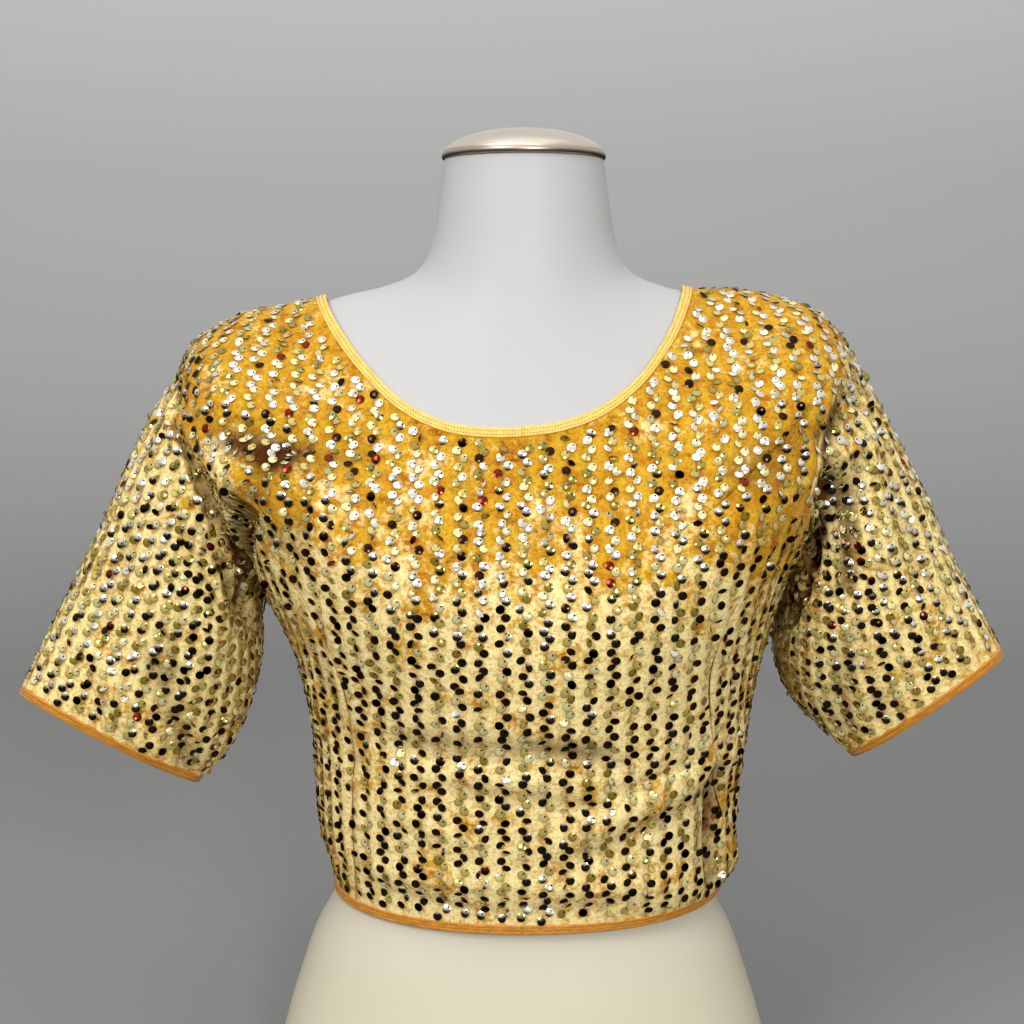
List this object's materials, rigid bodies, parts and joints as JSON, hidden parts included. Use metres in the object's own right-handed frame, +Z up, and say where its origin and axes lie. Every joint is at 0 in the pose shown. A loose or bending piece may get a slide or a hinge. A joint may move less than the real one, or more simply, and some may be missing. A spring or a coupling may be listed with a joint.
{
  "type": "choli blouse on a limbless dress form",
  "caption": "Short gold velvet choli blouse with sequins, round neck and half sleeves, worn by a limbless dress form with a metal neck cap.",
  "frame": {"origin": "centre of the dress form's flat base, under the middle of its neck", "axes": "+Z up along the form, -Y out of the chest, +X to the right as seen from the front"},
  "size_m": [0.6403, 0.2548, 0.6376],
  "materials": {
    "velvet_body": "stretch velvet with rows of sequins",
    "velvet_sleeve": "stretch velvet with rows of sequins",
    "neck_satin": "folded satin binding",
    "edge_satin": "folded satin binding",
    "form_plastic": "smooth moulded, semi-gloss",
    "cap_nickel": "brushed nickel plate"
  },
  "bodies": {
    "root": {"dress_form": "form_plastic", "neck_cap": "cap_nickel", "front_centre": "velvet_body", "front_side_left": "velvet_body", "front_side_right": "velvet_body", "back": "velvet_body", "sleeve_left": "velvet_sleeve", "sleeve_right": "velvet_sleeve", "neck_binding": "neck_satin", "hem_binding": "edge_satin", "cuff_binding_left": "edge_satin", "cuff_binding_right": "edge_satin"}
  },
  "joints": []
}
